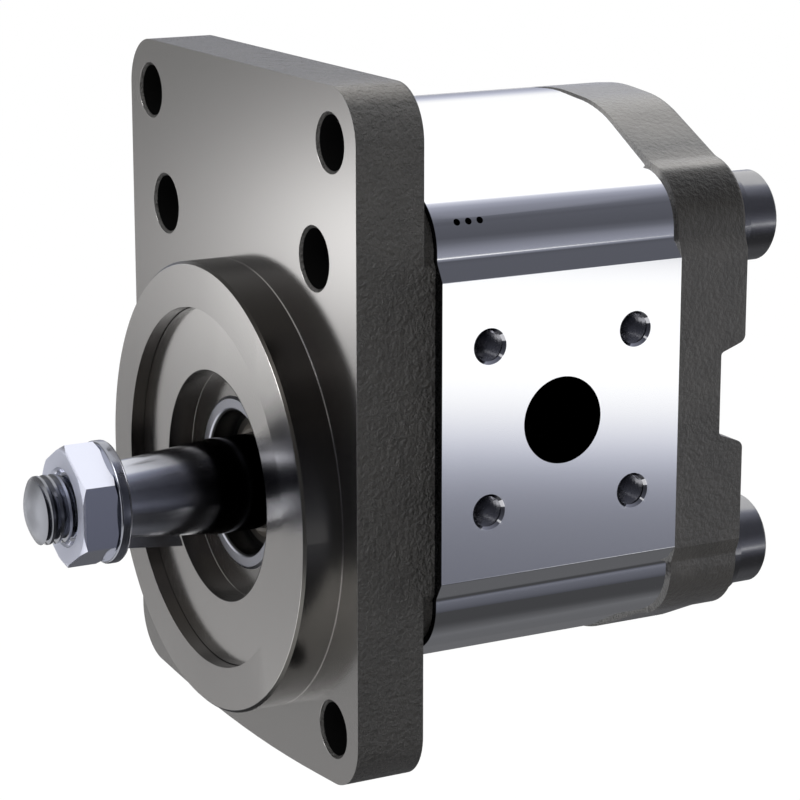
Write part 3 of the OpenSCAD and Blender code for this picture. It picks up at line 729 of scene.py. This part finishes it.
def finishes():
    """Makes every finish once and returns them by name."""
    made = bpy.data.materials
    if "Extruded aluminium" in made:
        return made
    wanted = bpy.context.scene.pump_finishes
    grain, marks = casting_grain(), tool_marks()
    cast, machined = tuple(wanted.cast_colour), tuple(wanted.machined_colour)
    steel = tuple(wanted.steel_colour)
    flange_finish(grain, painted_reflection_fans(), cast, machined, wanted.grain)
    cover_finish(grain, tuple(1.1 * c for c in cast), wanted.grain)
    body_finish(tuple(wanted.body_colour))
    shaft_finish(marks, steel)
    steel_finish("Ground steel", marks, steel, 0.18, 0.3, (2000, 300, 2000))
    nut_finish((0.74, 0.76, 0.87))
    steel_finish("Washer steel", marks, (0.3, 0.31, 0.35), 0.12, 0.18)
    steel_finish("Bolt steel", marks, (0.34, 0.34, 0.35), 0.18, 0.24)
    # Painted shade: the threads inside the port holes are a dark steel grey
    steel_finish("Tapped hole", marks, (0.36, 0.36, 0.39), 0.2, 0.3)
    steel_finish("Block alloy", marks, (0.6, 0.61, 0.63), 0.3, 0.45)
    seal_case_finish((0.62, 0.63, 0.7))
    plain_finish("Bush metal", grain, (0.5, 0.33, 0.13), 1.0, 0.35)
    plain_finish("Seal rubber", grain, (0.012, 0.012, 0.013), 0.0, 0.5)
    plain_finish("Lip rubber", grain, (0.15, 0.135, 0.12), 0.0, 0.3)
    plain_finish("Backup plastic", grain, (0.75, 0.71, 0.6), 0.0, 0.4)
    return made


FINISH_OF_NODE = {
    "front_cover": "Flange casting", "pump_body": "Extruded aluminium",
    "rear_cover": "Cover casting",
    "drive_gear_shaft": "Drive shaft steel", "driven_gear_shaft": "Ground steel",
    "shaft_key": "Bolt steel", "dowel_pins": "Ground steel",
    "lock_washer": "Washer steel", "shaft_nut": "Plated steel",
    "bolt_washers": "Bolt steel", "body_bolts": "Bolt steel",
    "front_bearing_block": "Block alloy", "rear_bearing_block": "Block alloy",
    "drive_front_bush": "Bush metal", "drive_rear_bush": "Bush metal",
    "driven_front_bush": "Bush metal", "driven_rear_bush": "Bush metal",
    "front_axial_seal": "Seal rubber", "rear_axial_seal": "Seal rubber",
    "front_body_seal": "Seal rubber", "rear_body_seal": "Seal rubber",
    "front_backup_strips": "Backup plastic", "rear_backup_strips": "Backup plastic",
    "shaft_seal_case": "Seal case steel", "shaft_seal_lip": "Lip rubber",
    "shaft_seal_spring": "Ground steel",
}


class PUMP_OT_finishes(bpy.types.Operator):
    """Give every CAD node its finish"""
    bl_idname = "pump.finishes"
    bl_label = "Finishes"

    def execute(self, context):
        made = finishes()
        for node, name in FINISH_OF_NODE.items():
            mesh = frame["nodes"][node].data
            mesh.materials.clear()
            mesh.materials.append(made[name])
        return {"FINISHED"}


def dome(shaft, reach, dome_r):
    """Rounds the shaft's tip with the surface of a ball of radius dome_r."""
    bpy.ops.object.select_all(action="DESELECT")
    bpy.ops.mesh.primitive_cylinder_add(
        vertices=64, radius=8 * MM, depth=2 * reach, location=(0, SHAFT_TIP_Y, 0),
        rotation=(math.radians(90), 0, 0))
    cup = bpy.context.object
    apply_place(cup)
    bpy.ops.object.select_all(action="DESELECT")
    bpy.ops.mesh.primitive_uv_sphere_add(
        segments=96, ring_count=96, radius=dome_r, location=(0, SHAFT_TIP_Y + dome_r, 0),
        rotation=(math.radians(90), 0, 0))
    ball = bpy.context.object
    apply_place(ball)
    cut(cup, ball)
    cut(shaft, cup)


class PUMP_OT_threaded_shaft(bpy.types.Operator):
    """Cut the thread on the drive shaft's end and dome its tip"""
    bl_idname = "pump.threaded_shaft"
    bl_label = "Threaded shaft"

    def execute(self, context):
        pitch = context.scene.pump_threads.shaft_pitch
        shaft = merged_copy("drive_gear_shaft", "threaded_drive_shaft")
        groove = coil("shaft_groove", 5.08 * MM, 6.35 * MM, 1.4 * MM, pitch, 11, 48)
        aim_along(groove, (0, SHAFT_TIP_Y - 0.4 * MM, 0), (0, 1, 0))
        cut(shaft, groove)
        dome(shaft, 2 * MM, 11 * MM)
        smooth(shaft, 28)
        dress(shaft, finishes()["Drive shaft steel"], "gear_steel")
        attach(shaft, "drive_rotor")
        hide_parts("drive_gear_shaft")
        return {"FINISHED"}


def at_port_holes(make, sink, name):
    """Makes a piece in each threaded hole and joins those of one port, side by side."""
    for side, port in ((-1, "suction_port_"), (1, "pressure_port_")):
        made = []
        for row in (-1, 1):
            for column in (-1, 1):
                piece = make()
                place = (side * (PORT_FACE_X - sink), GEAR_MID_Y + column * PORT_BOLT_STEP,
                         PORT_Z + row * PORT_BOLT_STEP)
                aim_along(piece, place, (-side, 0, 0))
                made.append(piece)
        joined = join(made, port + name)
        smooth(joined, 30)
        yield joined


class PUMP_OT_port_threads(bpy.types.Operator):
    """Wind the threads in the ports' eight holes"""
    bl_idname = "pump.port_threads"
    bl_label = "Port threads"

    def execute(self, context):
        pitch = context.scene.pump_threads.port_pitch
        turns = int(11.4 * MM / pitch)

        def ridge():
            return coil("port_thread", 2.52 * MM, 3.03 * MM, 0.85 * MM, pitch, turns, 24)

        for joined in at_port_holes(ridge, 1.3 * MM, "threads"):
            dress(joined, finishes()["Tapped hole"], "body_alloy")
            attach(joined, "housing")
        return {"FINISHED"}


class PUMP_OT_smooth_steel(bpy.types.Operator):
    """Show the round pieces without facets"""
    bl_idname = "pump.smooth_steel"
    bl_label = "Smooth round pieces"

    def execute(self, context):
        for node, slot, body in (
                ("pump_body", "body_alloy", "housing"),
                ("body_bolts", "bolt_steel", "housing"),
                ("shaft_nut", "plated_steel", "drive_rotor")):
            piece = merged_copy(node, "smooth_" + node)
            smooth(piece, 25)
            weigh_normals(piece)
            dress(piece, finishes()[FINISH_OF_NODE[node]], slot)
            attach(piece, body)
            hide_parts(node)
        return {"FINISHED"}


class PUMP_OT_port_mouths(bpy.types.Operator):
    """Narrow the mouths of the ports' threaded holes to a small chamfer"""
    bl_idname = "pump.port_mouths"
    bl_label = "Port thread mouths"

    def execute(self, context):
        corners = ((3.09 * MM, 0.0), (2.6 * MM, 0.5 * MM), (3.66 * MM, 0.0))

        def ring():
            return wound("port_mouth", corners, 0.0, 1, 64)

        for joined in at_port_holes(ring, 0.01 * MM, "mouths"):
            dress(joined, finishes()["Extruded aluminium"], "body_alloy")
            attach(joined, "housing")
        return {"FINISHED"}


class PUMP_OT_round_washer(bpy.types.Operator):
    """Round the lock washer's edges"""
    bl_idname = "pump.round_washer"
    bl_label = "Rounded washer"

    def execute(self, context):
        washer = merged_copy("lock_washer", "rounded_lock_washer")
        clear_flats(washer)
        rounding = washer.modifiers.new("round", "BEVEL")
        rounding.width = 0.55 * MM
        rounding.segments = 4
        rounding.limit_method = "ANGLE"
        rounding.angle_limit = math.radians(40)
        apply_modifiers(washer)
        smooth(washer, 40)
        weigh_normals(washer)
        dress(washer, finishes()["Washer steel"], "plated_steel")
        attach(washer, "drive_rotor")
        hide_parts("lock_washer")
        return {"FINISHED"}


def plane(name, place, aim, size):
    bpy.ops.object.select_all(action="DESELECT")
    bpy.ops.mesh.primitive_plane_add(size=1)
    card = bpy.context.object
    card.name = name
    card.scale = (*size, 1)
    card.rotation_mode = "QUATERNION"
    card.rotation_quaternion = Vector(aim).to_track_quat("Z", "Y")
    card.location = place
    apply_place(card)
    return card


def glowing(name):
    material = bpy.data.materials.new(name)
    material.use_nodes = True
    tree = material.node_tree
    tree.nodes.clear()
    light = tree.nodes.new("ShaderNodeEmission")
    end = tree.nodes.new("ShaderNodeOutputMaterial")
    tree.links.new(light.outputs[0], end.inputs["Surface"])
    where = tree.nodes.new("ShaderNodeTexCoord").outputs["Object"]
    return material, light, where


def steps_of_light(tree, value, stops, blue):
    """A ramp through (place, brightness) pairs, tinted by blue where it is dim."""
    def glow(level):
        tint = (blue - 1.0) * min(1.0, max(0.0, 2.0 - 2.0 * level))
        return level, level * (1.0 + 0.15 * tint), level * (1.0 + tint)

    return ramp_of(tree, value, stops, glow)


def reflection_card(name, place, aim, size, light_of):
    """A card that only shows as a reflection; light_of links its colour."""
    card = plane(name, place, aim, size)
    material, light, where = glowing(name)
    light_of(material.node_tree, light.inputs["Color"], where)
    card.data.materials.append(material)
    card.visible_camera = False
    card.visible_diffuse = False
    card.visible_shadow = False
    card.visible_transmission = False


def ramp_card(name, place, aim, size, axis, stops, blue=1.24):
    """A card whose light changes along the world's X or Z."""
    def light_of(tree, socket, where):
        value = axes_of(tree, where)[axis]
        tree.links.new(steps_of_light(tree, value, stops, blue), socket)

    reflection_card(name, place, aim, size, light_of)


def spot_card(name, place, aim, size, spot, stops):
    """A card whose light depends on the distance from the point spot."""
    def light_of(tree, socket, where):
        gap = tree.nodes.new("ShaderNodeVectorMath")
        gap.operation = "DISTANCE"
        tree.links.new(where, gap.inputs[0])
        gap.inputs[1].default_value = spot
        tree.links.new(steps_of_light(tree, gap.outputs["Value"], stops, 1.0), socket)

    reflection_card(name, place, aim, size, light_of)


def at_bearing(azimuth, distance, height):
    """The point that is seen from the pump in the direction azimuth, in degrees."""
    turn = math.radians(azimuth)
    return Vector((distance * math.cos(turn), 0.03 + distance * math.sin(turn), height))


def side_cards():
    """Cards round the pump, which its upright faces reflect."""
    ramp_card("side_card", at_bearing(31, 2.0, 0.17), -at_bearing(31, 1, 0), (2.9, 2.7), Z, (
        (-1.2, 0.06), (-0.7, 0.13), (-0.62, 0.16), (-0.567, 0.2), (-0.545, 0.25),
        (-0.53, 0.34), (-0.515, 0.46), (-0.5, 0.7), (-0.465, 1.05), (-0.45, 1.15),
        (-0.336, 1.15), (-0.33, 0.29), (-0.2, 0.26), (-0.055, 0.21), (0.243, 0.125),
        (0.55, 0.085), (1.6, 0.1)))
    ramp_card("shade_card", at_bearing(8, 1.9, 0.1), -at_bearing(8, 1, 0), (1.14, 2.6), Z, (
        (-1.2, 0.06), (-0.7, 0.09), (-0.5, 0.15), (-0.2, 0.15), (0.2, 0.09), (1.4, 0.06)))
    ramp_card("near_side_card", at_bearing(-40, 2.0, 0.1), -at_bearing(-45, 1, 0),
              (2.4, 2.6), Z, ((-1.2, 0.06), (-0.4, 0.05), (0.3, 0.07), (1.4, 0.12)))


def level_cards():
    """Cards above and below, which the crown, the shoulders and the shaft reflect."""
    ramp_card("far_overhead_card", (-1.6, 0.8, 1.52), (0, 0, -1), (3.1, 3.6), X, (
        (-3.2, 1.15), (0.0, 1.15)))
    ramp_card("overhead_card", (1.3, 0.8, 1.52), (0, 0, -1), (2.7, 3.6), X, (
        (-0.05, 1.15), (0.03, 0.65), (0.29, 0.36), (0.58, 0.26), (0.94, 0.14),
        (1.35, 0.095), (2.6, 0.085)))
    ramp_card("low_card", (0.3, 1.25, -1.15), (0, 0, 1), (4.4, 3.4), X, (
        (-1.9, 0.12), (-0.3, 0.125), (0.02, 0.14), (0.24, 0.105), (0.5, 0.065),
        (0.7, 0.055), (1.3, 0.055), (2.3, 0.055)), 1.07)


def far_cards():
    """Cards on the pump's hidden side."""
    inward = -at_bearing(150, 1, 0)
    ramp_card("far_low_card", at_bearing(150, 2.0, -0.6), inward, (2.6, 1.1), Z, (
        (-1.15, 0.13), (-0.25, 0.14), (-0.06, 0.3)), 1.07)
    ramp_card("far_high_card", at_bearing(150, 2.0, 0.75), inward, (2.6, 1.5), Z, (
        (0.0, 0.35), (0.3, 0.5), (0.5, 0.75), (0.6, 1.0), (0.75, 1.12), (1.5, 1.12)))


def front_card():
    """The card whose bright spot lights the flange and the spigot."""
    spot = at_bearing(-150.2, 2.0, -0.33)
    spot_card("front_card", at_bearing(-146, 2.0, 0.0), -at_bearing(-146, 1, 0),
              (1.66, 2.3), spot, (
                  (0.0, 2.9), (0.05, 2.2), (0.1, 0.78), (0.15, 0.42), (0.22, 0.23),
                  (0.3, 0.2), (0.42, 0.3), (0.55, 0.32), (1.2, 0.25)))


def backdrop(floor_z):
    """A white floor and a white world."""
    floor = plane("floor", (0, 0, floor_z), (0, 0, 1), (60, 60))
    paint, shader, _ = finish("Floor", (1, 1, 1), 0.0, 1.0)
    shader.inputs["Specular IOR Level"].default_value = 0.0
    floor.data.materials.append(paint)
    world = bpy.data.worlds.new("Studio")
    bpy.context.scene.world = world
    world.use_nodes = True
    world.node_tree.nodes["Background"].inputs["Color"].default_value = (1, 1, 1, 1)
    world.node_tree.nodes["Background"].inputs["Strength"].default_value = 1.0


def key_light():
    light = bpy.data.lights.new("key_light", "AREA")
    light.shape = "RECTANGLE"
    light.size = light.size_y = 0.6
    light.energy = 5
    holder = bpy.data.objects.new("key_light", light)
    bpy.context.scene.collection.objects.link(holder)
    holder.location = (0.2, -0.9, 0.9)
    holder.rotation_mode = "QUATERNION"
    target = Vector((0, 0.02, 0.02))
    holder.rotation_quaternion = (target - holder.location).to_track_quat("-Z", "Y")


def photo_camera(wanted):
    camera = bpy.data.cameras.new("camera")
    camera.lens = wanted.lens
    camera.sensor_width = 36
    camera.clip_start = 0.01
    holder = bpy.data.objects.new("camera", camera)
    bpy.context.scene.collection.objects.link(holder)
    holder.location = wanted.camera_place
    holder.rotation_mode = "QUATERNION"
    holder.rotation_quaternion = Vector(wanted.camera_aim).to_track_quat("-Z", "Y")
    bpy.context.scene.camera = holder


class PUMP_OT_stage(bpy.types.Operator):
    """Floor, light, reflection cards and camera"""
    bl_idname = "pump.stage"
    bl_label = "Stage"

    def execute(self, context):
        wanted = context.scene.pump_stage
        backdrop(wanted.floor_z)
        side_cards()
        level_cards()
        far_cards()
        front_card()
        key_light()
        photo_camera(wanted)
        context.scene.view_settings.view_transform = "Standard"
        return {"FINISHED"}


class PUMP_PT_panel(bpy.types.Panel):
    """The pump's pieces, in the order in which they are made"""
    bl_idname = "PUMP_PT_panel"
    bl_label = "Gear pump"
    bl_space_type = "VIEW_3D"
    bl_region_type = "UI"
    bl_category = "Pump"

    def draw(self, context):
        for operator in OPERATORS:
            self.layout.operator(operator.bl_idname)


OPERATORS = (
    PUMP_OT_finishes, PUMP_OT_smooth_steel, PUMP_OT_round_washer,
    PUMP_OT_threaded_shaft, PUMP_OT_port_threads, PUMP_OT_port_mouths, PUMP_OT_stage)
GROUPS = (PumpFinishes, PumpThreads, PumpStage)


def register():
    for cls in (*GROUPS, *OPERATORS, PUMP_PT_panel):
        bpy.utils.register_class(cls)
    bpy.types.Scene.pump_finishes = bpy.props.PointerProperty(type=PumpFinishes)
    bpy.types.Scene.pump_threads = bpy.props.PointerProperty(type=PumpThreads)
    bpy.types.Scene.pump_stage = bpy.props.PointerProperty(type=PumpStage)


def unregister():
    del bpy.types.Scene.pump_stage
    del bpy.types.Scene.pump_threads
    del bpy.types.Scene.pump_finishes
    for cls in reversed((*GROUPS, *OPERATORS, PUMP_PT_panel)):
        bpy.utils.unregister_class(cls)


def main():
    register()
    bpy.ops.pump.finishes()
    bpy.ops.pump.smooth_steel()
    bpy.ops.pump.round_washer()
    bpy.ops.pump.threaded_shaft()
    bpy.ops.pump.port_threads()
    bpy.ops.pump.port_mouths()
    bpy.ops.pump.stage()


if __name__ == "__main__":
    main()
